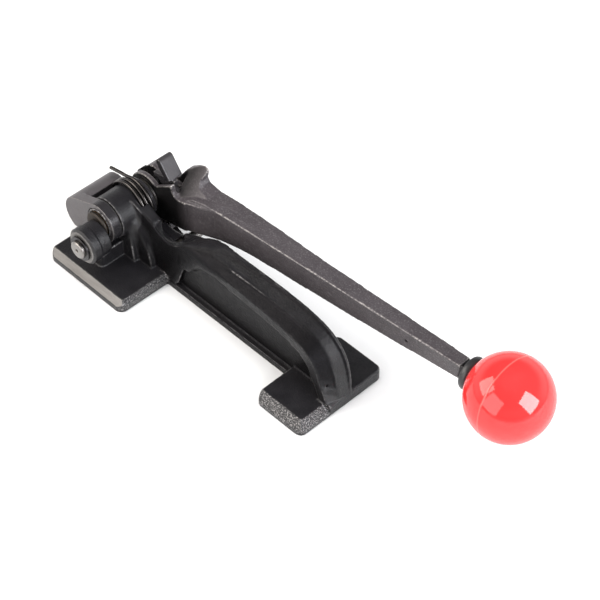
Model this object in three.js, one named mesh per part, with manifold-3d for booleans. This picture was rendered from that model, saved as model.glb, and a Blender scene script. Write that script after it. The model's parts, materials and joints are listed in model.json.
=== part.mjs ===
// Manual strapping tensioner: cast frame, slotted windlass on a ratchet shaft, sprung gripper yoke
// and a forked hand lever with a ball knob. Millimetres, +Z up, +X towards the knob, sole at Z = 0.
// All sizes below are in the casting's own frame, whose zero is the near front corner of the sole.
// The last lines shift the tool so that its origin lies on the sole, under the main shaft.
import * as THREE from 'three';
import { mergeVertices } from 'three/addons/utils/BufferGeometryUtils.js';
import Module from 'manifold-3d';

const wasm = await Module();
wasm.setup();

// ---- driving dimensions ---------------------------------------------------------------------
const GAP = 0.3;                          // clearance between neighbouring pieces
const SHAFT = { x: 28.5, z: 36.5 };       // main shaft axis, parallel to Y
const PIN = { x: 32.4, z: 31 };           // windlass (crank pin) axis, parallel to Y
const STRAP_Y = 20;                       // the origin's place across the sole

const PLATE_T = 8;                        // both foot plates
const FRONT_FOOT = { x0: 0, x1: 67.4, y0: 0, y1: 57 };
const REAR_FOOT = { x0: 174, x1: 211.5, y0: 10.5, y1: 77 };

const BARREL_R = 13.9;                    // outside of the shaft housing
const BARREL = { y0: 26.6, y1: 49.2 };
const SPIGOT_R = 10.2;                    // the yoke turns on these two ends of the housing
const SPIGOT = { y0: 19, y1: 55.3 };
const BUSH_R = 8.5;
const JOURNAL_R = 7;

const YOKE_NEAR = { y0: 19.4, y1: 26.2 };
const YOKE_FAR = { y0: 50.2, y1: 54 };
const YOKE_HEEL = { x: 13, z: 31, r: 9 };   // the far plate's smaller end, inside the bar's outline
const YOKE_RING_R = 13.2;
const BAR = { x: 8.5, z: 29, r: 13, y1: 52.6 };   // finger bar of the yoke
const SPRING = { r: 15.7, wire: 2.3, y0: 42.6, pitch: 3, turns: 2, from: -7.4, leaves: 106 };  // degrees
// From the last coil, over the bar, in (x, z).
const SPRING_LEG = [[-4.2, -1.3], [-12.1, -2.7], [-19.4, -4.3]];
const SPRING_BAY = { y0: 41.1, y1: 50, r: 17.4 };

const DRUM = { r: 12, y0: 1.6, y1: 16, slot: 2.2 };
const RATCHET = { tip: 15.4, root: 13, teeth: 24, y0: 61, y1: 66 };
const CHEEK_NEAR = { y0: 57, y1: 60.6 };
const CHEEK_FAR = { y0: 66.5, y1: 76 };
const CHEEK_R = 14.6;
const FAR_JOURNAL_R = 6.4;

const PAWL_PIN = { x: 51, z: 47.5, r: 2.6, y0: 58.2, y1: 75.6 };
const PAWL_BOSS_R = 4.4;
const HOLD_PIN = { x: 40, z: 14, r: 2.4, y0: 33.3, y1: 66.6 };

const LEVER_BUSH_R = 8.4;
const DRIVE_TOOTH = 72;                   // degrees round the wheel of the tooth that the drive pawl holds
const TAB = { x: 47, z: 57, y0: 59, y1: 69.4, thick: 4.5, length: 15.5, lean: 36 };

const FRAME_LEG = { y0: 30.5, y1: 46, side: [[17, 4], [46, 4], [43.5, 24], [42.4, 36.5], [14.6, 36.5],
  [16, 24]] };
const LEG_WING = { y0: 34, y1: 46, side: [[30, 4], [57.5, 4], [56.5, 13], [54, 23], [49.5, 31], [42.4, 38],
  [30, 36]] };
const NOSE = { x0: 24.5, x1: 35.6, y0: 13, y1: 34, z0: 4, z1: 17.2, r: 2.5, backY: 18.9, backZ: 19.5 };
const WEB = { y0: 41.5, y1: 47, inset: 3, root: [[36, 2], [36, 40], [50, 30], [66, 30]], heel: [206, 2] };
const RAIL = { z1: 4.4, plan: [[60, 37.5], [200, 37.5], [206, 48], [60, 48]] };
const SHOULDER = { y0: 38, y1: 46.5, side: [[20, 4], [20, 36.5], [30, 49.5], [37, 48.6], [44, 45.5],
  [50, 43.4], [56, 41.4], [56, 4]] };
// The saddle: at each x, the heights of its near and middle ridges, its far edge's y and height, its underside.
const SADDLE = { nearY: 38, midY: 46, at: [[47, 44, 31, 55.5, 27, 4], [52, 42.8, 28.6, 55.5, 26.4, 4],
  [57, 41.2, 27, 55.5, 26.6, 4], [62, 38.6, 26.2, 55.5, 28, 4], [67, 36.9, 27.6, 55.5, 30.6, 4],
  [73, 36.7, 31.8, 55.5, 34.2, 4], [77, 39.2, 36, 55.5, 36, 8], [82, 42.4, 41.2, 55.2, 38, 22],
  [88, 44.4, 45, 54.4, 41, 32], [96, 43.2, 47.4, 53, 45.4, 34], [104, 41.2, 47.4, 52.1, 48.4, 34]] };
const SADDLE_LUG = { x: 69, z: 30.6, r: 2.6, y0: 51, y1: 55.5 };
const WEB_BOSS = { x: 85, z: 30, r: 6.4, y0: 37, y1: 43 };
const BOW_TOP = [[84, 40], [93, 46], [112, 50], [134, 51.5], [156, 51.5], [174, 50.5], [188, 48], [197, 44],
  [204, 37.5], [208.5, 29], [210.8, 18], [211.5, 4]];
// The bow's far flank, widest where it leaves the saddle: x, and its far edge's y and height.
const FLANK = { midY: 49, depth: 5, at: [[82, 55.2, 37.8], [88, 55, 42.2], [96, 54.8, 46.4],
  [104, 54.4, 48.5], [114, 53.2, 49.7], [126, 52.4, 50.7], [138, 51.9, 51.2]] };
// The near lip is set in.
const BOW = { thick: 6.5, farY: 52, frontLipY: 38.6, rearLipY: 33.4, drop: 8, floor: 2 };

const LEVER_TOP = [[58, 50.5], [75, 57], [119, 61.9], [165, 65.4], [220, 69.7], [279, 74.2]];
const LEVER_UNDER = [[58, 27], [78, 32.5], [96, 38.3], [119, 43.6], [165, 48.6], [220, 55.4], [279, 63.6]];
const LEVER_FAR_EDGE = [[58, 77], [82, 77], [119, 76], [165, 74.4], [220, 73.6], [279, 72.6]];
const LEVER_NEAR_EDGE = [[58, 59], [75, 61], [119, 61.5], [165, 62.4], [220, 63.1], [279, 64]];
const CHEEK_NEAR_SIDE = [[30, 22], [44, 24], [64, 28.8], [64, 52.4], [60, 50.9], [56, 50.4],
  [52.8, 53], [52, 58.4], [37.7, 48.4]];
const CHEEK_FAR_SIDE = [[30, 22], [44, 24], [64, 28.8], [64, 54], [60, 54], [49, 56], [37.7, 47]];
const CROSS_HOLE = { x: 240, z: 63.7, r: 1.2 };
const THUMB_REST = [[59, 49], [76.5, 69], [76.5, 90], [59, 90]];   // cut away above it, in (y, z)
const CREST = [[53, 46], [53, 63.4], [57.6, 67], [61.5, 68.9], [64.6, 68.6], [65.4, 66.2], [64, 61.5],
  [66, 58.4], [76, 57], [76, 45]];
const CREST_HORN = { y0: 70.2, side: [[46, 48], [45, 53.5], [51.1, 62.4], [57.6, 67], [60, 60], [60, 48]] };

const STOP_PIN = { x: 67, z: 25.4, r: 3, y0: 39.3, y1: 66 };   // the lever rests on it
const JAW = { x0: 2, x1: 15, y0: 28, y1: 40, z0: 9, z1: 20.5 };
const JAW_PIN = { x: 8.5, z: 16.8, r: 1.5, y0: 26, y1: 40.8 };
const PLUG = { x0: 1, x1: 19, y0: 22, y1: 44, z0: 4 };
const PLUG_SCREW = { x: 10, y: 33, r: 2, head: 3.6, z0: 0.6, z1: 2.4, z2: 6.6 };
const HEEL_PIN = { x: 203.4, y: 38, r: 1.8, z0: 4.3, z1: 14 };

const KNOB_THREAD_R = 3.6;
const KNOB_INSERT_R = 6;
const LEVER_TIP = { x: 279, y: 68.2, z: 68.9 };
const BALL = { x: 311.1, y: 68.2, z: 71.4, r: 25.4 };

// ---- solids ---------------------------------------------------------------------------------
function solid(geometry) {
  const plain = geometry.clone();
  plain.deleteAttribute('normal');
  plain.deleteAttribute('uv');
  const merged = mergeVertices(plain, 1e-4);
  const vertProperties = new Float32Array(merged.attributes.position.array);
  const triVerts = new Uint32Array(merged.index.array);
  return new wasm.Manifold(new wasm.Mesh({ numProp: 3, vertProperties, triVerts }));
}

function join(parts) {
  return parts.slice(1).reduce((sum, part) => sum.add(part), parts[0]);
}

function cut(body, tools) {
  return tools.reduce((left, tool) => left.subtract(tool), body);
}

function geometryOf(body) {
  const { vertProperties, triVerts, numProp } = body.getMesh();
  const points = [];
  for (let i = 0; i < vertProperties.length; i += numProp) {
    points.push(vertProperties[i], vertProperties[i + 1], vertProperties[i + 2]);
  }
  const geometry = new THREE.BufferGeometry();
  geometry.setAttribute('position', new THREE.Float32BufferAttribute(points, 3));
  geometry.setIndex([...triVerts]);
  geometry.computeVertexNormals();
  return geometry;
}

// A side outline in (x, z), given depth from y0 to y1.
function sideSolid(shape, y0, y1, curveSegments = 10) {
  const geometry = new THREE.ExtrudeGeometry(shape, { depth: y1 - y0, bevelEnabled: false, curveSegments });
  geometry.rotateX(Math.PI / 2).translate(0, y1, 0);
  return solid(geometry);
}

// A plan outline in (x, y), given height from z0 to z1.
function planSolid(shape, z0, z1, curveSegments = 6) {
  const geometry = new THREE.ExtrudeGeometry(shape, { depth: z1 - z0, bevelEnabled: false, curveSegments });
  return solid(geometry.translate(0, 0, z0));
}

function boxSolid(x0, x1, y0, y1, z0, z1) {
  const geometry = new THREE.BoxGeometry(x1 - x0, y1 - y0, z1 - z0);
  return solid(geometry.translate((x0 + x1) / 2, (y0 + y1) / 2, (z0 + z1) / 2));
}

// A turned piece about an axis parallel to Y; the profile is a list of [radius, y], from low y to high y.
function turned(axis, profile, segments = 36) {
  const points = profile.map(([r, y]) => new THREE.Vector2(r, y));
  return solid(new THREE.LatheGeometry(points, segments).translate(axis.x, 0, axis.z));
}

function rod(axis, r, y0, y1, segments = 36, chamfer = 0) {
  const c = chamfer;
  if (c === 0) return turned(axis, [[0, y0], [r, y0], [r, y1], [0, y1]], segments);
  return turned(axis, [[0, y0], [r - c, y0], [r, y0 + c], [r, y1 - c], [r - c, y1], [0, y1]], segments);
}

function tube(axis, inner, outer, y0, y1, segments = 36) {
  return rod(axis, outer, y0, y1, segments).subtract(rod(axis, inner, y0 - 1, y1 + 1, segments));
}

function polygon(points) {
  return new THREE.Shape(points.map(([x, y]) => new THREE.Vector2(x, y)));
}

function roundedRect(x0, x1, y0, y1, r) {
  const shape = new THREE.Shape();
  shape.moveTo(x0 + r, y0);
  shape.lineTo(x1 - r, y0);
  shape.absarc(x1 - r, y0 + r, r, -Math.PI / 2, 0, false);
  shape.lineTo(x1, y1 - r);
  shape.absarc(x1 - r, y1 - r, r, 0, Math.PI / 2, false);
  shape.lineTo(x0 + r, y1);
  shape.absarc(x0 + r, y1 - r, r, Math.PI / 2, Math.PI, false);
  shape.lineTo(x0, y0 + r);
  shape.absarc(x0 + r, y0 + r, r, Math.PI, 1.5 * Math.PI, false);
  return shape;
}

// Two circles joined by their outer tangents: the outline of a link.
function linkShape(a, ra, b, rb) {
  const dx = b.x - a.x;
  const dz = b.z - a.z;
  const along = Math.atan2(dz, dx);
  const open = Math.acos((ra - rb) / Math.hypot(dx, dz));
  const shape = new THREE.Shape();
  shape.absarc(a.x, a.z, ra, along + open, along - open + 2 * Math.PI, false);
  shape.absarc(b.x, b.z, rb, along - open, along + open, false);
  shape.closePath();
  return shape;
}

// ---- frame casting --------------------------------------------------------------------------
function footPlate(foot, r, bevelled) {
  const body = planSolid(roundedRect(foot.x0, foot.x1, foot.y0, foot.y1, r), 0, PLATE_T);
  return cut(body, bevelled);
}

// A long triangular prism that bevels a top edge; drop is the bevel's height.
function edgeBevelX(x0, x1, y, drop, sign) {
  const points = [[y - sign, PLATE_T - drop], [y - sign, PLATE_T + 1], [y + sign * (drop + 1), PLATE_T + 1],
    [y, PLATE_T - drop]];
  const geometry = new THREE.ExtrudeGeometry(polygon(sign > 0 ? points : [...points].reverse()),
    { depth: x1 - x0, bevelEnabled: false });
  geometry.rotateX(Math.PI / 2).rotateZ(Math.PI / 2).translate(x0, 0, 0);
  return solid(geometry);
}

function edgeBevelY(y0, y1, x, drop) {
  const outline = polygon([[x + 1, PLATE_T - drop], [x + 1, PLATE_T + 1], [x - drop - 1, PLATE_T + 1],
    [x, PLATE_T - drop]]);
  return sideSolid(outline, y0, y1);
}

// A closed solid through sections of equal point count, with flat ends.
function loft(sections) {
  const count = sections[0].length;
  const geometry = new THREE.BufferGeometry();
  geometry.setAttribute('position', new THREE.Float32BufferAttribute(sections.flat(2), 3));
  const index = [];
  for (let s = 0; s < sections.length - 1; s += 1) {
    for (let i = 0; i < count; i += 1) {
      const a = s * count + i;
      const b = s * count + ((i + 1) % count);
      index.push(a, b + count, b, a, a + count, b + count);
    }
  }
  const last = (sections.length - 1) * count;
  for (let i = 1; i < count - 1; i += 1) {
    index.push(0, i, i + 1, last, last + i + 1, last + i);
  }
  geometry.setIndex(index);
  return solid(geometry);
}

function bowLine() {
  return new THREE.SplineCurve(BOW_TOP.map(([x, z]) => new THREE.Vector2(x, z)));
}

// The bow's plate: a section of [y, depth below the outer line], swept along that line.
function bow() {
  const outer = bowLine();
  const count = 26;
  const sections = [];
  for (let i = 0; i <= count; i += 1) {
    const p = outer.getPoint(i / count);
    const t = outer.getTangent(i / count);
    const along = THREE.MathUtils.clamp((p.x - 90) / 110, 0, 1);
    const lip = THREE.MathUtils.lerp(BOW.frontLipY, BOW.rearLipY, along);
    const drop = BOW.drop * Math.min(1, p.y / 24);
    const mid = (lip + BOW.farY) / 2;
    const outline = [[BOW.farY, 0], [BOW.farY, BOW.thick], [mid + 1, BOW.thick + drop * 0.45],
      [lip, BOW.thick + drop], [lip, drop], [mid, drop * 0.35]];
    sections.push(outline.map(([y, depth]) => [p.x + t.y * depth, y,
      Math.max(p.y - t.x * depth, BOW.floor)]));
  }
  return loft(sections);
}

function web() {
  const top = bowLine().getPoints(18).map((p) => [p.x - 2, p.y - WEB.inset]).filter(([, z]) => z > 6);
  return sideSolid(polygon([...WEB.root, ...top, WEB.heel]), WEB.y0, WEB.y1);
}

function saddle() {
  return loft(SADDLE.at.map(([x, near, mid, farY, far, under]) => [[x, SADDLE.nearY, under],
    [x, SADDLE.nearY, near], [x, SADDLE.midY, mid], [x, farY, far], [x, farY, under]]));
}

function flank() {
  return loft(FLANK.at.map(([x, farY, z]) => [[x, FLANK.midY, z - FLANK.depth], [x, FLANK.midY, z],
    [x, farY, z], [x, farY, z - FLANK.depth]]));
}

function frameBody() {
  const front = footPlate(FRONT_FOOT, 5, [edgeBevelX(-5, 75, FRONT_FOOT.y0, 4.2, 1),
    edgeBevelY(-5, 70, FRONT_FOOT.x1, 2.6)]);
  const rear = footPlate(REAR_FOOT, 4.5, [edgeBevelX(170, 216, REAR_FOOT.y0, 5, 1),
    edgeBevelY(5, 34, REAR_FOOT.x1, 5), edgeBevelY(34, 82, REAR_FOOT.x1, 1.5)]);
  const barrel = rod(SHAFT, BARREL_R, BARREL.y0, BARREL.y1);
  const spigots = rod(SHAFT, SPIGOT_R, SPIGOT.y0, SPIGOT.y1);
  const leg = sideSolid(polygon(FRAME_LEG.side), FRAME_LEG.y0, FRAME_LEG.y1);
  const wing = sideSolid(polygon(LEG_WING.side), LEG_WING.y0, LEG_WING.y1);
  const nose = planSolid(roundedRect(NOSE.x0, NOSE.x1, NOSE.y0, NOSE.y1, NOSE.r), NOSE.z0, NOSE.z1);
  const noseBack = boxSolid(NOSE.x0, NOSE.x1, NOSE.backY, NOSE.y1, NOSE.z0, NOSE.backZ);
  const rail = planSolid(polygon(RAIL.plan), 0, RAIL.z1);
  const shoulder = sideSolid(polygon(SHOULDER.side), SHOULDER.y0, SHOULDER.y1);
  const lug = rod(SADDLE_LUG, SADDLE_LUG.r, SADDLE_LUG.y0, SADDLE_LUG.y1, 20, 0.6);
  const boss = rod(WEB_BOSS, WEB_BOSS.r, WEB_BOSS.y0, WEB_BOSS.y1, 24, 1);
  return join([front, rear, barrel, spigots, leg, wing, nose, noseBack, shoulder,
    saddle(), flank(), lug, web(), rail, bow(), boss]);
}

function frameCasting() {
  const bore = rod(SHAFT, BUSH_R + GAP, SPIGOT.y0 - 1, SPIGOT.y1 + 1);
  const plugSeat = boxSolid(PLUG.x0 - GAP, PLUG.x1 + GAP, PLUG.y0 - GAP, PLUG.y1 + GAP, PLUG.z0 - GAP,
    PLATE_T + 1);
  const plugHole = rodZ(PLUG_SCREW.x, PLUG_SCREW.y, PLUG_SCREW.r + GAP, -1, PLUG.z0 + 1);
  const plugBore = rodZ(PLUG_SCREW.x, PLUG_SCREW.y, PLUG_SCREW.head + GAP, -1, PLUG_SCREW.z1 + GAP);
  const angle = THREE.MathUtils.degToRad(SPRING.from);
  const hook = { x: SHAFT.x + SPRING.r * Math.cos(angle), z: SHAFT.z + SPRING.r * Math.sin(angle) };
  const springHole = rod(hook, SPRING.wire / 2 + GAP, 37.5, 60, 12);
  const springBay = tube(SHAFT, BARREL_R, SPRING_BAY.r, SPRING_BAY.y0, SPRING_BAY.y1, 40);
  const pawlPinHole = rod(HOLD_PIN, HOLD_PIN.r + GAP, HOLD_PIN.y0 - GAP, 70, 20);
  const heelHole = rodZ(HEEL_PIN.x, HEEL_PIN.y, HEEL_PIN.r + GAP, HEEL_PIN.z0 - GAP, 20);
  const stopHole = rod(STOP_PIN, STOP_PIN.r + GAP, STOP_PIN.y0 - GAP, STOP_PIN.y1, 20);
  return cut(frameBody(), [bore, plugSeat, plugHole, plugBore, heelHole, springHole, springBay, pawlPinHole,
    stopHole]);
}

function rodZ(x, y, r, z0, z1, segments = 20) {
  const geometry = new THREE.CylinderGeometry(r, r, z1 - z0, segments);
  geometry.rotateX(Math.PI / 2).translate(x, y, (z0 + z1) / 2);
  return solid(geometry);
}

// ---- pieces fixed to the frame ----------------------------------------------------------------
function serrated(x0, x1, y0, y1, z0, z1, up) {
  const teeth = 9;
  const step = (x1 - x0) / teeth;
  const depth = 0.7;
  const outline = [[x0, up ? z0 : z1], [x1, up ? z0 : z1]];
  for (let i = teeth; i > 0; i -= 1) {
    const edge = up ? z1 : z0;
    const valley = up ? z1 - depth : z0 + depth;
    outline.push([x0 + i * step, edge], [x0 + (i - 0.5) * step, valley]);
  }
  outline.push([x0, up ? z1 : z0]);
  return sideSolid(polygon(up ? outline : [...outline].reverse()), y0, y1);
}

function basePlug() {
  const block = serrated(PLUG.x0, PLUG.x1, PLUG.y0, PLUG.y1, PLUG.z0, PLATE_T + 0.6, true);
  return block.subtract(rodZ(PLUG_SCREW.x, PLUG_SCREW.y, PLUG_SCREW.r + GAP, PLUG.z0 - 1,
    PLUG_SCREW.z2 + 0.4));
}

function basePlugScrew() {
  const shank = rodZ(PLUG_SCREW.x, PLUG_SCREW.y, PLUG_SCREW.r, PLUG_SCREW.z0, PLUG_SCREW.z2);
  return shank.add(rodZ(PLUG_SCREW.x, PLUG_SCREW.y, PLUG_SCREW.head, PLUG_SCREW.z0, PLUG_SCREW.z1, 6));
}

function bush(y0, y1) {
  return tube(SHAFT, JOURNAL_R + GAP, BUSH_R, y0, y1);
}

// ---- windlass shaft ---------------------------------------------------------------------------
function mainShaft() {
  const shaft = turned(SHAFT, [[0, 16.6], [8, 16.6], [8.8, 17.4], [8.8, 18.7], [JOURNAL_R, 18.7],
    [JOURNAL_R, 66.2], [FAR_JOURNAL_R, 66.2], [FAR_JOURNAL_R, 77.6], [5.4, 77.6], [5.4, 79],
    [FAR_JOURNAL_R, 79], [FAR_JOURNAL_R, 80], [5.6, 80.8], [0, 80.8]]);
  const pin = turned(PIN, [[0, -0.6], [0.9, -2.2], [4.9, -2.2], [5.8, -1.3], [5.8, -0.2], [4.7, -0.2],
    [4.7, 1.3], [5.8, 1.3], [5.8, 17.5], [0, 17.5]], 40);
  const body = shaft.add(pin);
  return cut(body, [drumKeySeat(), ratchetKeySeat()]);
}

function keySolid(axis, y0, y1, z0, z1, width) {
  return boxSolid(axis.x - width / 2, axis.x + width / 2, y0, y1, axis.z + z0, axis.z + z1);
}

function drumKeySeat() {
  return keySolid(PIN, 3 - GAP, 10 + GAP, 4.3 - GAP, 7.4 + GAP, 2.4 + 2 * GAP);
}

function ratchetKeySeat() {
  return keySolid(SHAFT, 61.6 - GAP, 65.4 + GAP, 5 - GAP, 8.9 + GAP, 3 + 2 * GAP);
}

function windlassDrum() {
  const drum = turned(PIN, [[6.1, DRUM.y0], [DRUM.r - 1.6, DRUM.y0], [DRUM.r, DRUM.y0 + 1.4], [DRUM.r, 8.2],
    [11.3, 8.8], [11.3, DRUM.y1], [6.1, DRUM.y1], [6.1, DRUM.y0]], 40);
  const slot = boxSolid(PIN.x - DRUM.slot / 2, PIN.x + DRUM.slot / 2, 0, 18, PIN.z - 13, PIN.z - 6.9);
  return cut(drum, [slot, drumKeySeat()]);
}

function snapRing(axis, inner, outer, y0, y1, opensAt) {
  const ring = tube(axis, inner, outer, y0, y1, 36);
  const mouth = new THREE.BoxGeometry(outer * 2, y1 - y0 + 2, inner * 1.1);
  mouth.translate(outer * 1.2, 0, 0).rotateY(THREE.MathUtils.degToRad(-opensAt));
  return ring.subtract(solid(mouth.translate(axis.x, (y0 + y1) / 2, axis.z)));
}

function ratchetWheel() {
  const points = [];
  const pitch = (2 * Math.PI) / RATCHET.teeth;
  const phase = THREE.MathUtils.degToRad(DRIVE_TOOTH);
  for (let i = 0; i < RATCHET.teeth; i += 1) {
    const a = phase + i * pitch;
    points.push([SHAFT.x + RATCHET.tip * Math.cos(a - 0.02), SHAFT.z + RATCHET.tip * Math.sin(a - 0.02)]);
    points.push([SHAFT.x + RATCHET.root * Math.cos(a), SHAFT.z + RATCHET.root * Math.sin(a)]);
  }
  const wheel = sideSolid(polygon(points), RATCHET.y0, RATCHET.y1);
  return cut(wheel, [rod(SHAFT, JOURNAL_R + GAP, RATCHET.y0 - 1, RATCHET.y1 + 1), ratchetKeySeat()]);
}

// ---- gripper yoke -----------------------------------------------------------------------------
function gripperYoke() {
  const outline = linkShape(BAR, BAR.r, SHAFT, YOKE_RING_R);
  const near = sideSolid(outline, YOKE_NEAR.y0, YOKE_NEAR.y1, 20);
  const far = sideSolid(linkShape(YOKE_HEEL, YOKE_HEEL.r, SHAFT, YOKE_RING_R), YOKE_FAR.y0, YOKE_FAR.y1, 20);
  const bar = cut(rod(BAR, BAR.r, YOKE_NEAR.y0, BAR.y1, 44),
    [rod(SHAFT, BARREL_R + 4.2, YOKE_NEAR.y1, YOKE_FAR.y0),
      rod(SHAFT, SPRING_BAY.r + 0.4, SPRING_BAY.y0, YOKE_FAR.y0),
      boxSolid(13.4, 30, YOKE_NEAR.y1, YOKE_FAR.y0, 0, SHAFT.z)]);
  const body = join([near, far, bar]);
  const bore = rod(SHAFT, SPIGOT_R + GAP, YOKE_NEAR.y0 - 1, YOKE_FAR.y1 + 1);
  const sole = sideSolid(polygon([[-12, 0], [24, 0], [24, 18.6], [14, 17.4], [2, 17.4], [-12, 22]]), 15, 60);
  const jawSeat = boxSolid(JAW.x0 - GAP, JAW.x1 + GAP, JAW.y0 - GAP, JAW.y1 + GAP, 0, JAW.z1 + GAP);
  const pinHole = rod(JAW_PIN, JAW_PIN.r + GAP, JAW_PIN.y0 - GAP, JAW_PIN.y1 + GAP, 16);
  return cut(body, [bore, sole, jawSeat, pinHole]);
}

function gripperJaw() {
  const block = serrated(JAW.x0, JAW.x1, JAW.y0, JAW.y1, JAW.z0, JAW.z1, false);
  return block.subtract(rod(JAW_PIN, JAW_PIN.r + GAP, JAW_PIN.y0 - 1, JAW_PIN.y1 + 1, 16));
}

// A wire piece swept along a smooth path.
function wire(points, diameter, steps, sides = 8) {
  const path = new THREE.CatmullRomCurve3(points.map(([x, y, z]) => new THREE.Vector3(x, y, z)));
  const section = new THREE.Shape();
  section.absarc(0, 0, diameter / 2, 0, 2 * Math.PI, false);
  const geometry = new THREE.ExtrudeGeometry(section,
    { steps, extrudePath: path, bevelEnabled: false, curveSegments: sides / 2 });
  return solid(geometry);
}

function yokeSpring() {
  const from = THREE.MathUtils.degToRad(SPRING.from);
  const sweep = THREE.MathUtils.degToRad(SPRING.leaves - SPRING.from) + 2 * Math.PI * SPRING.turns;
  const at = (a, y) => [SHAFT.x + SPRING.r * Math.cos(a), y, SHAFT.z + SPRING.r * Math.sin(a)];
  const points = [at(from, 38), at(from, 40.4)];
  const count = 44;
  for (let i = 0; i <= count; i += 1) {
    const t = i / count;
    points.push(at(from + sweep * t, SPRING.y0 + (SPRING.pitch * sweep * t) / (2 * Math.PI)));
  }
  const end = points[points.length - 1];
  points.push(...SPRING_LEG.map(([x, z]) => [end[0] + x, end[1], end[2] + z]));
  return wire(points, SPRING.wire, 88, 6);
}

// ---- lever ------------------------------------------------------------------------------------
function curveShape(top, bottom) {
  const upper = new THREE.SplineCurve(top.map(([x, y]) => new THREE.Vector2(x, y))).getPoints(14);
  const lower = new THREE.SplineCurve(bottom.map(([x, y]) => new THREE.Vector2(x, y))).getPoints(14);
  return new THREE.Shape([...lower, ...upper.reverse()]);
}

function leverArm() {
  const side = curveShape(LEVER_TOP, LEVER_UNDER);
  const plan = curveShape(LEVER_FAR_EDGE, LEVER_NEAR_EDGE);
  const arm = sideSolid(side, 50, 90).intersect(planSolid(plan, 0, 110));
  const hub = rod(SHAFT, CHEEK_R, CHEEK_NEAR.y0, CHEEK_FAR.y1);
  const nearCheek = sideSolid(polygon(CHEEK_NEAR_SIDE), CHEEK_NEAR.y0, CHEEK_NEAR.y1);
  const farCheek = sideSolid(polygon(CHEEK_FAR_SIDE), CHEEK_FAR.y0, CHEEK_FAR.y1);
  const crest = sideSolid(polygon(CREST), CHEEK_NEAR.y1, 77)
    .add(sideSolid(polygon(CREST_HORN.side), CREST_HORN.y0, 77)).subtract(aboveThumbRest());
  const spigot = rod({ x: 0, z: 0 }, KNOB_THREAD_R, -3, 24, 24);
  const body = join([arm, hub, nearCheek, farCheek, crest, alongKnob(spigot)]);
  const shaftHole = rod(SHAFT, JOURNAL_R + GAP, 50, CHEEK_FAR.y0);
  const bushHole = rod(SHAFT, LEVER_BUSH_R + GAP, CHEEK_FAR.y0 - 1, 90);
  const wheelBay = rod(SHAFT, RATCHET.tip + 1.2, CHEEK_NEAR.y1, CHEEK_FAR.y0);
  const pawlBay = boxSolid(20, 53, CHEEK_NEAR.y1, CHEEK_FAR.y0, 10, 80)
    .add(boxSolid(20, 53, CHEEK_FAR.y0 - 1, CREST_HORN.y0, 50, 80))
    .add(boxSolid(52, 59.5, CHEEK_NEAR.y1, CHEEK_FAR.y0, 10, 46))
    .add(rod(PAWL_PIN, PAWL_BOSS_R + 0.6, CHEEK_NEAR.y1, CHEEK_FAR.y0, 24));
  const pinHole = rod(PAWL_PIN, PAWL_PIN.r + GAP, PAWL_PIN.y0 - GAP, 90, 20);
  const crossHole = rod(CROSS_HOLE, CROSS_HOLE.r, 50, 90, 12);
  return cut(body, [shaftHole, bushHole, wheelBay, pawlBay, pinHole, crossHole]);
}

// What lies above the slanted face that the thumb presses, from the lever's near edge up to the crest.
function aboveThumbRest() {
  const geometry = new THREE.ExtrudeGeometry(polygon(THUMB_REST), { depth: 60, bevelEnabled: false });
  return solid(geometry.rotateX(Math.PI / 2).rotateZ(Math.PI / 2).translate(30, 0, 0));
}

// Moves a piece turned about Y = 0 so that its Y runs outwards along the knob's axis.
const KNOB_ANGLE = Math.atan2(BALL.z - LEVER_TIP.z, BALL.x - LEVER_TIP.x);
const KNOB_REACH = Math.hypot(BALL.z - LEVER_TIP.z, BALL.x - LEVER_TIP.x);
function alongKnob(body) {
  const geometry = geometryOf(body);
  geometry.rotateZ(-Math.PI / 2).rotateY(-KNOB_ANGLE).translate(LEVER_TIP.x, LEVER_TIP.y, LEVER_TIP.z);
  return solid(geometry);
}

const ORIGIN_AXIS = { x: 0, z: 0 };
function jamNut() {
  const nut = rod(ORIGIN_AXIS, 6.6, 0.4, 3.4, 6);
  return alongKnob(nut.subtract(rod(ORIGIN_AXIS, KNOB_THREAD_R + GAP, -1, 9, 24)));
}

function knobCollar() {
  const collar = turned(ORIGIN_AXIS, [[KNOB_THREAD_R + GAP, 3.7], [9.2, 3.7], [10.2, 4.7],
    [10.2, 7.6], [8.6, 9.2], [KNOB_THREAD_R + GAP, 9.2], [KNOB_THREAD_R + GAP, 3.7]], 36);
  return alongKnob(collar);
}

function ballKnob() {
  const ball = solid(new THREE.SphereGeometry(BALL.r, 28, 16).translate(0, KNOB_REACH, 0));
  const well = rod(ORIGIN_AXIS, KNOB_INSERT_R + GAP, 0, 26.5, 24);
  const mouth = boxSolid(-30, 30, 0, 9.5, -30, 30);
  return alongKnob(cut(ball, [well, mouth]));
}

function knobInsert() {
  return alongKnob(rod(ORIGIN_AXIS, KNOB_INSERT_R, 9.8, 26, 24)
    .subtract(rod(ORIGIN_AXIS, KNOB_THREAD_R + GAP, 9, 24.6, 24)));
}

// ---- pawls ------------------------------------------------------------------------------------
function polar(r, degrees) {
  const a = THREE.MathUtils.degToRad(degrees);
  return [SHAFT.x + r * Math.cos(a), SHAFT.z + r * Math.sin(a)];
}

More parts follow.
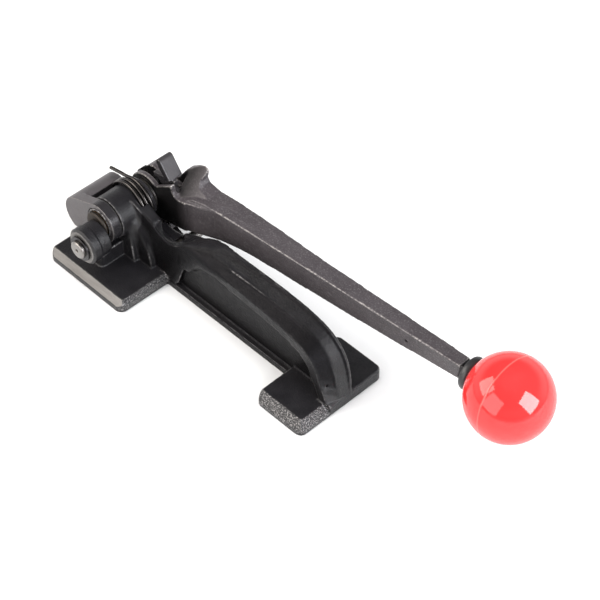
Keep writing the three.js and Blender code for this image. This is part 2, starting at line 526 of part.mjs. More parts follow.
function drivePawl() {
  const y0 = RATCHET.y0 + 0.1;
  const y1 = RATCHET.y0 + 3.2;
  const hook = sideSolid(polygon([polar(13.7, DRIVE_TOOTH + 1.9), polar(16.1, DRIVE_TOOTH + 1.5),
    polar(16.1, 55), polar(16.3, 40), [PAWL_PIN.x - 2, PAWL_PIN.z - 5], [PAWL_PIN.x + 2, PAWL_PIN.z - 4],
    [PAWL_PIN.x + 3, PAWL_PIN.z + 2], polar(25.5, 52), polar(20.5, 66), polar(18, DRIVE_TOOTH + 9),
    polar(15, DRIVE_TOOTH + 7)]), y0, y1);
  const boss = rod(PAWL_PIN, PAWL_BOSS_R, y0, y1, 24);
  const stem = sideSolid(polygon([[44, 51], [50, 51], [50.5, 58], [45.8, 58]]), y0, y1);
  const tab = sideSolid(tabShape(), TAB.y0, TAB.y1);
  return join([hook, boss, stem, tab]).subtract(rod(PAWL_PIN, PAWL_PIN.r + GAP, y0 - 1, y1 + 1, 20));
}

function tabShape() {
  const lean = THREE.MathUtils.degToRad(TAB.lean);
  const up = new THREE.Vector2(-Math.sin(lean), Math.cos(lean));
  const side = new THREE.Vector2(Math.cos(lean), Math.sin(lean));
  const at = (u, v) => [TAB.x + up.x * u + side.x * v, TAB.z + up.y * u + side.y * v];
  const half = TAB.thick / 2;
  const points = [at(0, -half), at(0, half)];
  for (let i = 0; i <= 8; i += 1) {
    const a = (Math.PI * i) / 8;
    points.push(at(TAB.length - half + half * Math.sin(a), half * Math.cos(a)));
  }
  return polygon(points);
}

function holdingPawl() {
  const y0 = RATCHET.y0 + 0.4;
  const y1 = RATCHET.y1 - 0.4;
  const arm = sideSolid(polygon([[HOLD_PIN.x + 3, HOLD_PIN.z - 4], [HOLD_PIN.x + 3.5, HOLD_PIN.z + 4],
    polar(16.1, -72), polar(15.9, -86), polar(19.5, -93)]), y0, y1);
  const tail = sideSolid(polygon([[HOLD_PIN.x, HOLD_PIN.z - 4.6], [HOLD_PIN.x + 13, HOLD_PIN.z - 5.4],
    [HOLD_PIN.x + 13, HOLD_PIN.z - 2.4], [HOLD_PIN.x, HOLD_PIN.z + 3]]), y0, y1);
  const boss = rod(HOLD_PIN, 5, y0, y1, 24);
  return join([arm, tail, boss]).subtract(rod(HOLD_PIN, HOLD_PIN.r + GAP, y0 - 1, y1 + 1, 20));
}

// A small torsion spring on a pawl's pin, with one straight leg at each end.
function pinSpring(axis, r, wireSize, y0, turns, pitch, leaves, legA, legB) {
  const points = [];
  const count = 18;
  const start = THREE.MathUtils.degToRad(leaves);
  const at = (a, y) => [axis.x + r * Math.cos(a), y, axis.z + r * Math.sin(a)];
  points.push([axis.x + legA[0], y0, axis.z + legA[1]]);
  for (let i = 0; i <= count; i += 1) {
    const t = i / count;
    points.push(at(start + 2 * Math.PI * turns * t, y0 + pitch * turns * t));
  }
  points.push([axis.x + legB[0], y0 + pitch * turns, axis.z + legB[1]]);
  return wire(points, wireSize, 36, 6);
}

// ---- the tool ---------------------------------------------------------------------------------
const FINISH = {
  black_paint: { color: 0x1b1b1d, roughness: 0.35, metalness: 0.2 },
  lever_paint: { color: 0x3a3837, roughness: 0.5, metalness: 0.2 },
  yoke_paint: { color: 0x4a4846, roughness: 0.45, metalness: 0.25 },
  steel: { color: 0x8c8883, roughness: 0.35, metalness: 1 },
  dark_steel: { color: 0x2b2a2b, roughness: 0.35, metalness: 0.9 },
  spring_steel: { color: 0x6d6a66, roughness: 0.3, metalness: 1 },
  bronze: { color: 0x8a6a48, roughness: 0.45, metalness: 1 },
  zinc_yellow: { color: 0xb49a4a, roughness: 0.35, metalness: 1 },
  red_knob: { color: 0xc8101a, roughness: 0.12, metalness: 0 },
  black_plastic: { color: 0x0e0e0f, roughness: 0.4, metalness: 0 },
};

const tool = new THREE.Group();
function add(name, body, finish) {
  const mesh = new THREE.Mesh(geometryOf(body), new THREE.MeshStandardMaterial(FINISH[finish]));
  mesh.name = name;
  tool.add(mesh);
}

add('frame_casting', frameCasting(), 'black_paint');
add('base_plug', basePlug(), 'steel');
add('base_plug_screw', basePlugScrew(), 'dark_steel');
add('shaft_bush_near', bush(19.2, 31), 'bronze');
add('shaft_bush_far', bush(42, 55.1), 'bronze');
add('yoke_washer', tube(SHAFT, JOURNAL_R + GAP, 10.8, 55.6, 56.7), 'steel');
add('heel_pin', rodZ(HEEL_PIN.x, HEEL_PIN.y, HEEL_PIN.r, HEEL_PIN.z0, HEEL_PIN.z1, 20), 'zinc_yellow');
add('yoke_spring', yokeSpring(), 'spring_steel');
add('lever_stop_pin', rod(STOP_PIN, STOP_PIN.r, STOP_PIN.y0, STOP_PIN.y1, 20, 0.6), 'steel');
add('holding_pawl_pin', rod(HOLD_PIN, HOLD_PIN.r, HOLD_PIN.y0, HOLD_PIN.y1, 20), 'steel');
add('holding_pawl_ring', snapRing(HOLD_PIN, HOLD_PIN.r + 0.05, 4.4, 66.9, 67.9, 20), 'dark_steel');

add('main_shaft', mainShaft(), 'steel');
add('windlass_drum', windlassDrum(), 'black_paint');
add('drum_key', keySolid(PIN, 3, 10, 4.3, 7.4, 2.4), 'steel');
add('drum_snap_ring', snapRing(PIN, 5, 8.4, 0, 1.1, 250), 'dark_steel');
add('ratchet_wheel', ratchetWheel(), 'dark_steel');
add('ratchet_key', keySolid(SHAFT, 61.6, 65.4, 5, 8.9, 3), 'steel');
add('shaft_washer', tube(SHAFT, FAR_JOURNAL_R + GAP, 10.6, 76.3, 77.3), 'steel');
add('shaft_snap_ring', snapRing(SHAFT, 5.7, 9, 77.75, 78.85, 90), 'dark_steel');

add('gripper_yoke', gripperYoke(), 'yoke_paint');
add('gripper_jaw', gripperJaw(), 'steel');
add('gripper_jaw_pin', rod(JAW_PIN, JAW_PIN.r, JAW_PIN.y0, JAW_PIN.y1, 16), 'steel');

add('lever_arm', leverArm(), 'lever_paint');
add('lever_bush', tube(SHAFT, FAR_JOURNAL_R + GAP, LEVER_BUSH_R, 66.6, 76), 'bronze');
add('drive_pawl_pin', rod(PAWL_PIN, PAWL_PIN.r, PAWL_PIN.y0, PAWL_PIN.y1, 20), 'steel');
add('jam_nut', jamNut(), 'dark_steel');
add('knob_collar', knobCollar(), 'black_plastic');
add('knob_insert', knobInsert(), 'bronze');
add('ball_knob', ballKnob(), 'red_knob');

add('drive_pawl', drivePawl(), 'yoke_paint');
add('drive_pawl_spring', pinSpring(PAWL_PIN, 3.9, 0.8, RATCHET.y0 + 3.9, 0.75, 0.9, 20, [3.7, -7], [3.7, -7]),
  'spring_steel');
add('holding_pawl', holdingPawl(), 'dark_steel');
add('holding_pawl_spring', pinSpring(HOLD_PIN, 3.6, 0.9, 57.4, 2.25, 1.15, 180, [-4, 6.5], [9, -1]),
  'spring_steel');

tool.position.set(-SHAFT.x, -STRAP_Y, 0);
const strappingTensioner = new THREE.Group();
strappingTensioner.add(tool);
export default strappingTensioner;
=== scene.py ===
"""Looks of a manual strapping tensioner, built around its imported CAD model.

Lengths in the shapes are in millimetres, in the casting's own frame, whose zero is the near front corner of
the sole. place() turns them into Blender's metres in the row frame.
"""
import json
import math

import bmesh
import bpy
import numpy as np
from mathutils import Matrix, Vector

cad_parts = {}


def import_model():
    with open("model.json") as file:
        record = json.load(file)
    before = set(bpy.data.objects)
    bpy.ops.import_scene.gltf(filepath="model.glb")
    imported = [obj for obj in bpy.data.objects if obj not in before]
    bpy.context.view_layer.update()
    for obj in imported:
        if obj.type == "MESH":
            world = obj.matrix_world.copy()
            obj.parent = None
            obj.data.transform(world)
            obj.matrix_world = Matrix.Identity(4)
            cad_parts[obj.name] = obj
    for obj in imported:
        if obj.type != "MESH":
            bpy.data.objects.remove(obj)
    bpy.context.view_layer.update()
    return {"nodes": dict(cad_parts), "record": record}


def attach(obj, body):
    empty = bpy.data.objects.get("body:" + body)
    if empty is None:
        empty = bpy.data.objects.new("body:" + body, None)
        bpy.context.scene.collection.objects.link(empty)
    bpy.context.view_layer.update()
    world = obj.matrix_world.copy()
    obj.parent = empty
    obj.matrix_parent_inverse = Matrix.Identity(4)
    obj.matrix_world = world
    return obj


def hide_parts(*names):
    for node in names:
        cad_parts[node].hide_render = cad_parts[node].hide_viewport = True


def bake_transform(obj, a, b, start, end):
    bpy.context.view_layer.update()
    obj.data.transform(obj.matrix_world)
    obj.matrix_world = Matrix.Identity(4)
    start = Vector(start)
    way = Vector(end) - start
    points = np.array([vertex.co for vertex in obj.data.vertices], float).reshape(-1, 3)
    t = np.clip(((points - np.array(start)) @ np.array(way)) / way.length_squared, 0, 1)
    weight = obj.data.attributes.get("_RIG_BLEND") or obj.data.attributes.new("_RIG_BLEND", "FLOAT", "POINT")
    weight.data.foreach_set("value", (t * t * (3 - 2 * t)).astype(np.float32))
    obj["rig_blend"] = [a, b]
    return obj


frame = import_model()

MM = 0.001
ORIGIN = Vector((28.5, 20.0, 0.0))          # the row frame's zero, in the casting's frame

# Axes parallel to Y, as (x, z)
SHAFT = (28.5, 36.5)
CRANK = (32.4, 31.0)
HOLD_PIN = (40.0, 14.0)
KNOB_AXIS = (0, 0)                          # the knob's pieces are turned here, then moved by turn_to_knob

# Casting
BARREL = {"bore": 8.8, "r": 13.9, "y0": 26.6, "y1": 40.9, "round": 0.5}
BOW_TOP = [(84, 40), (93, 46), (112, 50), (134, 51.5), (156, 51.5), (174, 50.5), (188, 48), (197, 44),
           (204, 37.5), (208.5, 29), (210.8, 18), (211.5, 4)]
BOW_STEPS = 6
RIB = {"depth": 0.9, "y": 50.6, "r": 1.0, "first": 3 * BOW_STEPS}
# Where ribs and walls flow into each other: centre, reach, rounds of softening, and the y it stops at
SOFT_PLACES = [((100, 40, 40), 24, 40, 52), ((92, 48, 42), 16, 30, 52), ((58, 44, 34), 20, 25, 60),
               ((46, 36, 30), 12, 15, 60), ((86, 38, 30), 12, 6, 60)]

# The yoke's spring; its leg's points are (x, z) from the end of the last coil
SPRING = {"r": 15.7, "wire": 2.3, "y0": 42.6, "pitch": 3.0, "from": -7.4, "sweep": 833.4, "steps": 220}
SPRING_LEG = [(-4.2, -1.3), (-12.1, -2.7), (-19.4, -4.3)]
SPRING_FOOT_Y = (38, 40.4)
SPRING_HELD = {"z": 44, "frame_x": 26, "yoke_x": 8}

# Turned pieces, as (radius, y)
SHAFT_PROFILE = [(0, 16.6), (8, 16.6), (8.8, 17.3), (8.8, 18.4), (8.5, 18.7), (7, 18.7), (7, 66.2), (6.4, 66.2),
                 (6.4, 77.6), (5.4, 77.6), (5.4, 79), (6.4, 79), (6.4, 80), (5.6, 80.8), (0, 80.8)]
CRANK_PROFILE = [(0, 1.2), (0.7, 0.6), (0.9, -1.5), (1.5, -2.2), (4.7, -2.2), (5.3, -2.05), (5.8, -1.5),
                 (5.8, -0.2), (4.7, -0.2), (4.7, 1.3), (5.8, 1.3), (5.8, 17.5), (0, 17.5)]
DRUM_PROFILE = [(6.1, 1.6), (10.2, 1.6), (12, 3), (12, 8.0), (11.3, 8.7), (11.3, 15.6), (10.9, 16), (6.1, 16)]
DRUM_SLOT = {"half": 1.1, "low": -13, "high": -6.9, "y0": 0, "y1": 18}
COLLAR_PROFILE = [(3.9, 3.7), (9.0, 3.7), (9.8, 4.1), (10.2, 4.9), (10.2, 7.4), (9.8, 8.1), (8.6, 9.2), (3.9, 9.2)]
NUT_PROFILE = [(3.9, 0.4), (6.6, 0.4), (6.6, 3.4), (3.9, 3.4)]
CLIP_ROUND = 0.18

# Lever and knob
LEVER_FLANK = [(61, 57.1, 28.6), (61, 57.1, 51.6), (86, 61.2, 57.6), (86, 61.2, 35.2)]
LEVER_FLANK_BACK = 62.5
LEVER_TIP = Vector((279.0, 68.2, 68.9))
BALL = Vector((311.1, 68.2, 71.4))
KNOB_LINE = (BALL - LEVER_TIP).normalized()
KNOB_REACH = (BALL - LEVER_TIP).length
BALL_R = 25.28
BALL_MOUTH = 9.5
BALL_BORE = [(0, 26.5), (6.3, 26.4), (6.3, BALL_MOUTH)]
SEAM = {"width": 0.42, "height": 0.10}

WEAR_SPREAD = 4
WEAR_GAIN = 14.0
FULLY_SMOOTH = 180                          # degrees


# ---- places and meshes ----------------------------------------------------------------------
def place(x, y, z):
    return (Vector((x, y, z)) - ORIGIN) * MM


def from_bmesh(name, bm):
    mesh = bpy.data.meshes.new(name)
    bmesh.ops.recalc_face_normals(bm, faces=bm.faces)
    bm.to_mesh(mesh)
    bm.free()
    piece = bpy.data.objects.new(name, mesh)
    bpy.context.scene.collection.objects.link(piece)
    return piece


def cad_copy(node):
    """The node's CAD solid as a bmesh, with its shared corners merged."""
    bm = bmesh.new()
    bm.from_mesh(frame["nodes"][node].data)
    bmesh.ops.remove_doubles(bm, verts=bm.verts, dist=1e-6)
    return bm


def add_lathe(bm, axis, profile, segments=96):
    """A closed turned body about an axis parallel to Y; the profile is a list of (radius, y)."""
    rings = []
    for radius, y in profile:
        if radius < 1e-6:
            rings.append([bm.verts.new(place(axis[0], y, axis[1]))])
            continue
        ring = []
        for i in range(segments):
            a = 2 * math.pi * i / segments
            x = axis[0] + radius * math.cos(a)
            z = axis[1] + radius * math.sin(a)
            ring.append(bm.verts.new(place(x, y, z)))
        rings.append(ring)
    closed = profile[0][0] > 1e-6
    pairs = list(zip(rings, rings[1:] + rings[:1] if closed else rings[1:]))
    for low, high in pairs:
        for i in range(segments):
            j = (i + 1) % segments
            corners = [low[i % len(low)], low[j % len(low)], high[j % len(high)], high[i % len(high)]]
            corners = [v for k, v in enumerate(corners) if v not in corners[:k]]
            if len(corners) > 2:
                bm.faces.new(corners)


def add_prism(bm, outline, y0, y1):
    """A closed side outline of (x, z) given depth along Y."""
    near = [bm.verts.new(place(x, y0, z)) for x, z in outline]
    far = [bm.verts.new(place(x, y1, z)) for x, z in outline]
    count = len(outline)
    bm.faces.new(near)
    bm.faces.new(list(reversed(far)))
    for i in range(count):
        j = (i + 1) % count
        bm.faces.new([near[j], near[i], far[i], far[j]])


def smooth_path(points, steps):
    """A Catmull-Rom curve through the points, with steps points for each span."""
    p = [Vector(q) for q in points]
    p = [2 * p[0] - p[1]] + p + [2 * p[-1] - p[-2]]
    out = []
    for i in range(1, len(p) - 2):
        for k in range(steps):
            t = k / steps
            a = 2 * p[i]
            b = p[i + 1] - p[i - 1]
            c = 2 * p[i - 1] - 5 * p[i] + 4 * p[i + 1] - p[i + 2]
            d = -p[i - 1] + 3 * p[i] - 3 * p[i + 1] + p[i + 2]
            out.append((a + b * t + c * t * t + d * t ** 3) / 2)
    out.append(p[-2])
    return out


def add_sweep(bm, path, radius, sides):
    """A round bar along a path."""
    count = len(path)
    normal = None
    rings = []
    for i, point in enumerate(path):
        along = (path[min(i + 1, count - 1)] - path[max(i - 1, 0)]).normalized()
        if normal is None:
            normal = along.orthogonal().normalized()
        normal = (normal - along * normal.dot(along)).normalized()
        side = along.cross(normal)
        ring = []
        for k in range(sides):
            a = 2 * math.pi * k / sides
            out = normal * math.cos(a) + side * math.sin(a)
            ring.append(bm.verts.new(place(*(point + out * radius))))
        rings.append(ring)
    for low, high in zip(rings, rings[1:]):
        for k in range(sides):
            m = (k + 1) % sides
            bm.faces.new([low[k], low[m], high[m], high[k]])
    bm.faces.new(rings[0])
    bm.faces.new(list(reversed(rings[-1])))


def apply_modifiers(piece):
    graph = bpy.context.evaluated_depsgraph_get()
    mesh = bpy.data.meshes.new_from_object(piece.evaluated_get(graph))
    piece.modifiers.clear()
    piece.data = mesh
    return piece


def fuse(piece, voxel, rounds):
    """Melts the overlapping bodies of a piece into one skin with cast or forged edges."""
    remesh = piece.modifiers.new("skin", "REMESH")
    remesh.mode = "VOXEL"
    remesh.voxel_size = voxel * MM
    soften = piece.modifiers.new("soften", "SMOOTH")
    soften.factor = 0.5
    soften.iterations = rounds
    return apply_modifiers(piece)


def combine(piece, bm, operation, overlapping=False):
    """Joins the bodies of a bmesh to a piece, or cuts them out of it."""
    tool = from_bmesh("tool", bm)
    step = piece.modifiers.new("combine", "BOOLEAN")
    step.operation = operation
    step.solver = "EXACT"
    step.use_self = overlapping
    step.object = tool
    apply_modifiers(piece)
    bpy.data.objects.remove(tool)


def bevel(piece, width, angle):
    step = piece.modifiers.new("edge", "BEVEL")
    step.width = width * MM
    step.segments = 2
    step.limit_method = "ANGLE"
    step.angle_limit = math.radians(angle)
    return apply_modifiers(piece)


def shade(piece, angle=32):
    mesh = piece.data
    mesh.polygons.foreach_set("use_smooth", [True] * len(mesh.polygons))
    mesh.set_sharp_from_angle(angle=math.radians(angle))
    mesh.update()
    return piece


def points_of(piece):
    flat = np.empty(len(piece.data.vertices) * 3)
    piece.data.vertices.foreach_get("co", flat)
    return flat.reshape(-1, 3)


def normals_of(piece):
    flat = np.empty(len(piece.data.vertices) * 3)
    piece.data.vertices.foreach_get("normal", flat)
    return flat.reshape(-1, 3)


def edges_of(piece):
    flat = np.empty(len(piece.data.edges) * 2, int)
    piece.data.edges.foreach_get("vertices", flat)
    return flat.reshape(-1, 2)


def skin(piece):
    """The x, y, z of every point in mm, in the casting's frame, and the x, y, z of its normal."""
    co = points_of(piece) / MM + np.array(ORIGIN)
    return co.T, normals_of(piece).T


def fade(value, start, over):
    """0 up to start, rising to 1 over the given distance."""
    return np.clip((value - start) / over, 0, 1)


def store(piece, name, values):
    """Keeps a value for each point, which the materials read by name."""
    attribute = piece.data.attributes.get(name) or piece.data.attributes.new(name, "FLOAT", "POINT")
    attribute.data.foreach_set("value", np.asarray(values, np.float32))


def neighbour_mean(values, edges, count):
    total = np.zeros((count,) + values.shape[1:])
    weight = np.zeros(count)
    for a, b in (edges.T, edges.T[::-1]):
        np.add.at(total, a, values[b])
        np.add.at(weight, a, 1)
    return total / np.maximum(weight, 1).reshape((count,) + (1,) * (values.ndim - 1))


def mark_wear(piece):
    """Stores how sharply each point stands proud, as "wear"."""
    co = points_of(piece) / MM
    edges = edges_of(piece)
    smooth = co.copy()
    for _ in range(WEAR_SPREAD):
        smooth = neighbour_mean(smooth, edges, len(co))
    proud = np.einsum("ij,ij->i", co - smooth, normals_of(piece))
    proud = neighbour_mean(proud, edges, len(co))
    store(piece, "wear", np.clip(proud * WEAR_GAIN / WEAR_SPREAD, 0, 1))


def melt(piece, centre, reach, rounds, far_y):
    """Softens the skin round a place, fading out over reach mm and not beyond far_y."""
    co = points_of(piece) / MM
    away = np.linalg.norm(co - np.array(Vector(centre) - ORIGIN), axis=1)
    share = fade(1 - away / reach, 0, 0.5) * fade(far_y - ORIGIN[1] - co[:, 1], 0, 3)
    edges = edges_of(piece)
    near = np.nonzero(share > 0)[0]
    renumber = np.full(len(co), -1)
    renumber[near] = np.arange(len(near))
    local = renumber[edges]
    local = local[(local >= 0).all(axis=1)]
    patch = co[near]
    for _ in range(rounds):
        patch += share[near, None] * (neighbour_mean(patch, local, len(near)) - patch)
    co[near] = patch
    piece.data.vertices.foreach_set("co", (co * MM).ravel())
    piece.data.update()


# ---- materials ------------------------------------------------------------------------------
def map_range(tree, value, *numbers):
    """Maps a value smoothly from one range to another: from low, from high, to low, to high."""
    node = tree.nodes.new("ShaderNodeMapRange")
    node.interpolation_type = "SMOOTHSTEP"
    tree.links.new(value, node.inputs["Value"])
    for socket, number in zip(("From Min", "From Max", "To Min", "To Max"), numbers):
        node.inputs[socket].default_value = number
    return node.outputs["Result"]


class Finish:
    """One procedural material. Textures are laid in millimetres, in the object's own space."""

    def __init__(self, name, colour, metallic=0.0, roughness=0.4, specular=0.5):
        self.material = bpy.data.materials.new(name)
        self.material.use_nodes = True
        self.tree = self.material.node_tree
        self.shader = self.tree.nodes["Principled BSDF"]
        self.use("Base Color", colour)
        self.use("Metallic", metallic)
        self.use("Roughness", roughness)
        self.use("Specular IOR Level", specular)
        space = self.tree.nodes.new("ShaderNodeTexCoord")
        scale = self.tree.nodes.new("ShaderNodeVectorMath")
        scale.operation = "SCALE"
        scale.inputs["Scale"].default_value = 1 / MM
        self.tree.links.new(space.outputs["Object"], scale.inputs[0])
        self.space = scale.outputs[0]
        self.relief = None

    def link(self, value, socket):
        """Feeds a socket with a number, a colour or another node's output."""
        if isinstance(value, (int, float)):
            socket.default_value = value
        elif isinstance(value, tuple):
            socket.default_value = (*value, 1)
        else:
            self.tree.links.new(value, socket)

    def noise(self, size, detail=3.0, stretch=(1, 1, 1), roughness=0.55):
        """Soft random values from 0 to 1, with features of about size mm."""
        vector = self.tree.nodes.new("ShaderNodeMapping")
        vector.inputs["Scale"].default_value = [1 / (size * s) for s in stretch]
        self.link(self.space, vector.inputs["Vector"])
        texture = self.tree.nodes.new("ShaderNodeTexNoise")
        texture.inputs["Scale"].default_value = 1
        texture.inputs["Detail"].default_value = detail
        texture.inputs["Roughness"].default_value = roughness
        self.link(vector.outputs[0], texture.inputs["Vector"])
        return texture.outputs["Fac"]

    def stored(self, name):
        """A value that store() kept; 0 on a piece that has none."""
        node = self.tree.nodes.new("ShaderNodeAttribute")
        node.attribute_name = name
        return node.outputs["Fac"]

    def span(self, value, low, high, to_low=0.0, to_high=1.0):
        return map_range(self.tree, value, low, high, to_low, to_high)

    def vary(self, noise, low, high):
        """Turns the middle of a noise's range into low to high."""
        return self.span(noise, 0.3, 0.7, low, high)

    def maths(self, kind, a, b):
        node = self.tree.nodes.new("ShaderNodeMath")
        node.operation = kind
        self.link(a, node.inputs[0])
        self.link(b, node.inputs[1])
        return node.outputs[0]

    def mix(self, data_type, socket_type, share, a, b):
        """Gives a where share is 0 and b where it is 1."""
        node = self.tree.nodes.new("ShaderNodeMix")
        node.data_type = data_type
        ends = {socket.name: socket for socket in node.inputs if socket.type == socket_type}
        self.link(share, node.inputs[0])
        self.link(a, ends["A"])
        self.link(b, ends["B"])
        return [socket for socket in node.outputs if socket.type == socket_type][0]

    def colours(self, share, a, b):
        return self.mix("RGBA", "RGBA", share, a, b)

    def values(self, share, a, b):
        return self.mix("FLOAT", "VALUE", share, a, b)

    def rubbed(self, low, high, patches, patch_low, patch_high):
        """Where an edge is worn, broken up by a noise."""
        edge = self.span(self.stored("wear"), low, high)
        return self.maths("MULTIPLY", edge, self.span(patches, patch_low, patch_high))

    def bump(self, height, depth):
        """Adds relief of about depth mm."""
        node = self.tree.nodes.new("ShaderNodeBump")
        node.inputs["Strength"].default_value = 1
        node.inputs["Distance"].default_value = depth * MM
        self.link(height, node.inputs["Height"])
        if self.relief is not None:
            self.link(self.relief, node.inputs["Normal"])
        self.relief = node.outputs["Normal"]
        self.link(self.relief, self.shader.inputs["Normal"])

    def use(self, socket, value):
        self.link(value, self.shader.inputs[socket])


def black_enamel():
    """Glossy black enamel over sand-cast iron, rubbed on its edges, with bare ground patches."""
    f = Finish("black_enamel", (0.012, 0.012, 0.014), roughness=0.3, specular=0.42)
    cloud = f.noise(9, 3)
    grain = f.noise(1.3, 5, roughness=0.7)
    fine = f.noise(0.45, 2)
    rub = f.rubbed(0.32, 0.85, f.noise(1.6, 4), 0.34, 0.62)
    bare = f.span(f.maths("ADD", f.stored("bare"), f.vary(f.noise(2.4, 4), -0.22, 0.22)), 0.42, 0.58)
    paint = f.colours(cloud, (0.005, 0.0047, 0.0055), (0.011, 0.0103, 0.012))
    paint = f.colours(f.span(grain, 0.64, 0.80, 0, 0.5), paint, (0.045, 0.043, 0.046))
    steel = f.colours(f.noise(3.5, 5, (6, 1, 1)), (0.11, 0.104, 0.100), (0.26, 0.25, 0.24))
    grit = f.maths("MULTIPLY", f.stored("grit"), f.span(f.noise(0.75, 3, roughness=0.7), 0.50, 0.62))
    rub = f.maths("MAXIMUM", rub, grit)
    worn = f.colours(f.maths("MULTIPLY", rub, 0.8), paint, (0.26, 0.25, 0.25))
    f.use("Base Color", f.colours(f.maths("MULTIPLY", bare, 0.9), worn, steel))
    # Metallic rises on rubbed edges for their bare shine, and with painted shade in the recesses, where the dark
    # paint then reflects less.
    rub_and_painted_shade = f.maths("ADD", f.maths("MULTIPLY", rub, 0.5), f.maths("MULTIPLY", f.stored("dark_finish_and_painted_shade"), 0.85))
    f.use("Metallic", f.values(bare, f.maths("MINIMUM", rub_and_painted_shade, 0.9), 0.75))
    f.use("Roughness", f.values(bare, f.vary(cloud, 0.32, 0.44), 0.5))
    f.bump(grain, 0.32)
    f.bump(fine, 0.06)
    f.bump(f.noise(5, 2), 0.10)
    return f.material


def forged_oxide():
    """Thin satin black-brown finish on a forged bar, bright where it is rubbed, with painted shade making it
    darker in the fork.
    """
    f = Finish("forged_oxide", (0.03, 0.027, 0.027), roughness=0.42, specular=0.5)
    cloud = f.noise(14, 4)
    grain = f.noise(1.2, 4, roughness=0.7)
    streak = f.noise(2.0, 3, (9, 1, 1))
    rub = f.rubbed(0.34, 0.85, f.noise(1.3, 4), 0.36, 0.60)
    colour = f.colours(cloud, (0.034, 0.029, 0.032), (0.058, 0.050, 0.055))
    colour = f.colours(f.span(streak, 0.5, 0.75, 0, 0.35), colour, (0.080, 0.071, 0.076))
    specks = f.span(f.noise(1.0, 3, roughness=0.7), 0.53, 0.66, 0, 0.5)
    colour = f.colours(specks, colour, (0.15, 0.14, 0.145))
    # Painted shade: the fork's near cheek is blended to near black.
    colour = f.colours(f.stored("dark_finish_and_painted_shade"), colour, (0.014, 0.013, 0.014))
    f.use("Base Color", f.colours(rub, colour, (0.36, 0.34, 0.33)))
    rub_and_painted_shade = f.maths("ADD", f.maths("MULTIPLY", rub, 0.6), f.maths("MULTIPLY", f.stored("dark_finish_and_painted_shade"), 0.6))
    f.use("Metallic", f.maths("MINIMUM", f.maths("ADD", rub_and_painted_shade, 0.2), 0.9))
    f.use("Roughness", f.vary(cloud, 0.36, 0.48))
    f.bump(grain, 0.26)
    f.bump(f.noise(4, 2), 0.12)
    return f.material


def satin_oxide():
    """Grey satin oxide of the yoke and the pawls, black and glossier on the yoke ring's own black finish and on
    the pawls, whose near faces also get painted shade.
    """
    f = Finish("satin_oxide", (0.07, 0.066, 0.064), roughness=0.42, specular=0.5)
    cloud = f.noise(8, 4)
    grain = f.noise(0.5, 4)
    rub = f.rubbed(0.35, 0.85, f.noise(1.1, 4), 0.35, 0.60)
    colour = f.colours(cloud, (0.058, 0.053, 0.056), (0.100, 0.092, 0.097))
    colour = f.colours(f.stored("dark_finish_and_painted_shade"), colour, (0.018, 0.017, 0.019))
    f.use("Base Color", f.colours(rub, colour, (0.34, 0.32, 0.30)))
    f.use("Metallic", f.span(rub, 0, 1, 0.35, 0.9))
    f.use("Roughness", f.values(f.stored("dark_finish_and_painted_shade"), f.vary(grain, 0.36, 0.48), 0.24))
    f.bump(grain, 0.05)
    f.bump(f.noise(1.3, 3, roughness=0.7), 0.12)
    f.bump(f.noise(3, 2), 0.05)
    return f.material


def metal(name, dark, light, roughness, size=1.2, dull=None):
    """Turned or ground metal, oiled, with fine marks, and darker and rougher where "dull" is stored."""
    f = Finish(name, light, metallic=1.0, roughness=roughness)
    marks = f.noise(size, 4)
    cloud = f.noise(size * 5, 3)
    colour = f.colours(f.maths("MULTIPLY", marks, cloud), dark, light)
    rough = f.vary(marks, roughness * 0.8, roughness * 1.3)
    if dull:
        stain = f.stored("dull")
        colour = f.colours(stain, colour, dull)
        rough = f.values(stain, rough, 0.6)
    f.use("Base Color", colour)
    f.use("Roughness", rough)
    f.bump(marks, 0.015)
    f.bump(f.noise(0.2, 2), 0.0075)
    return f.material


def red_gloss():
    """Polished red plastic with a paler moulding seam."""
    f = Finish("red_gloss", (0.62, 0.02, 0.02), roughness=0.07, specular=0.5)
    cloud = f.noise(22, 2)
    red = f.colours(cloud, (0.57, 0.022, 0.022), (0.66, 0.030, 0.030))
    seam = f.maths("MULTIPLY", f.stored("seam"), 0.45)
    f.use("Base Color", f.colours(seam, red, (0.90, 0.16, 0.14)))
    f.use("Roughness", f.vary(f.noise(1.5, 3), 0.05, 0.09))
    f.bump(f.noise(7, 2), 0.03)
    f.bump(f.noise(0.5, 2), 0.0015)
    return f.material


def black_plastic():
    f = Finish("black_plastic", (0.015, 0.015, 0.016), roughness=0.35)
    grain = f.noise(0.35, 3)
    f.use("Base Color", f.colours(f.noise(4, 3), (0.012, 0.012, 0.013), (0.022, 0.021, 0.022)))
    f.use("Roughness", f.vary(grain, 0.28, 0.45))
    f.bump(grain, 0.015)
    return f.material


SLOT_MATERIALS = {
    "black_paint": black_enamel(),
    "lever_paint": forged_oxide(),
    "yoke_paint": satin_oxide(),
    "red_knob": red_gloss(),
    "black_plastic": black_plastic(),
    "steel": metal("oiled_steel", (0.20, 0.19, 0.18), (0.36, 0.34, 0.33), 0.34, 0.8, dull=(0.06, 0.052, 0.046)),
    "dark_steel": metal("blackened_steel", (0.030, 0.029, 0.031), (0.085, 0.080, 0.082), 0.32, 0.9),
    "spring_steel": metal("spring_steel", (0.05, 0.046, 0.045), (0.14, 0.13, 0.125), 0.30, 0.8),
    "bronze": metal("bronze", (0.26, 0.17, 0.09), (0.48, 0.33, 0.19), 0.4),
    "zinc_yellow": metal("yellow_zinc", (0.45, 0.33, 0.12), (0.68, 0.53, 0.24), 0.3),
}
SLOT_OF = {s["node"]: s["material_slot"] for s in frame["record"]["subparts"]}
BODY_OF = {n: b for b, nodes in frame["record"]["behaviour"]["bodies"].items() for n in nodes}


